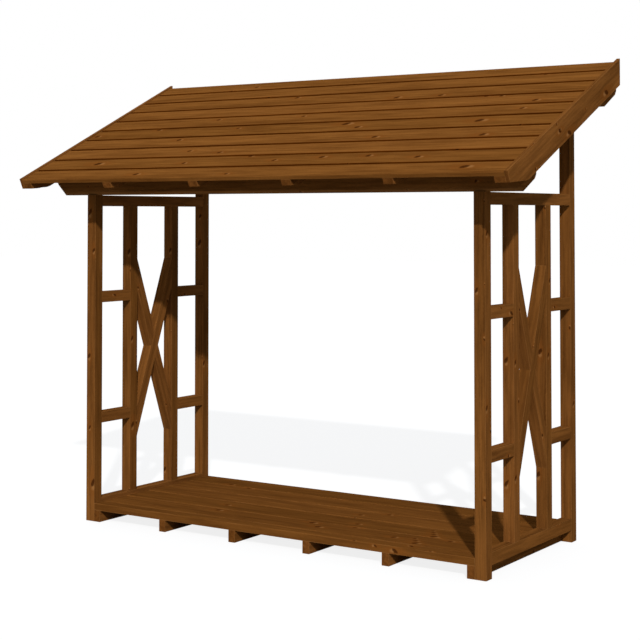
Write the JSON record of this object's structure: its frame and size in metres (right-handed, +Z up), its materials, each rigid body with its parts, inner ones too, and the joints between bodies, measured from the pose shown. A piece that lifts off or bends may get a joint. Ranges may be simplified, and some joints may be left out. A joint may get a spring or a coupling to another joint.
{
  "type": "open log store",
  "caption": "Open timber log store: braced side frames, a raised boarded deck and a lean-to boarded roof with shaped eave ends.",
  "frame": {"origin": "centre of the footprint at ground level", "axes": "+X along the length, to the right seen from the open front; the open low-eaved front faces -Y; +Z up"},
  "size_m": [2.343, 1.028, 1.964],
  "materials": {
    "frame_timber": "brown stained planed softwood",
    "deck_boards": "brown stained planed softwood",
    "roof_timber": "brown stained planed softwood",
    "roof_boards": "brown stained softwood boards"
  },
  "bodies": {
    "root": {"front_post_left": "frame_timber", "rear_post_left": "frame_timber", "front_stud_left": "frame_timber", "rear_stud_left": "frame_timber", "bottom_rail_left": "frame_timber", "top_rail_left": "frame_timber", "lower_front_noggin_left": "frame_timber", "lower_rear_noggin_left": "frame_timber", "upper_front_noggin_left": "frame_timber", "upper_rear_noggin_left": "frame_timber", "rising_brace_left": "frame_timber", "falling_brace_left": "frame_timber", "front_post_right": "frame_timber", "rear_post_right": "frame_timber", "front_stud_right": "frame_timber", "rear_stud_right": "frame_timber", "bottom_rail_right": "frame_timber", "top_rail_right": "frame_timber", "lower_front_noggin_right": "frame_timber", "lower_rear_noggin_right": "frame_timber", "upper_front_noggin_right": "frame_timber", "upper_rear_noggin_right": "frame_timber", "rising_brace_right": "frame_timber", "falling_brace_right": "frame_timber", "bearer_1": "frame_timber", "bearer_2": "frame_timber", "bearer_3": "frame_timber", "bearer_4": "frame_timber", "bearer_5": "frame_timber", "bearer_6": "frame_timber", "deck_boards": "deck_boards", "deck_front_strip": "deck_boards", "front_purlin": "roof_timber", "rear_purlin": "roof_timber", "rafter_1": "roof_timber", "rafter_2": "roof_timber", "rafter_3": "roof_timber", "rafter_4": "roof_timber", "rafter_5": "roof_timber", "rafter_6": "roof_timber", "barge_board_left": "roof_timber", "barge_board_right": "roof_timber", "roof_boards": "roof_boards"}
  },
  "joints": []
}
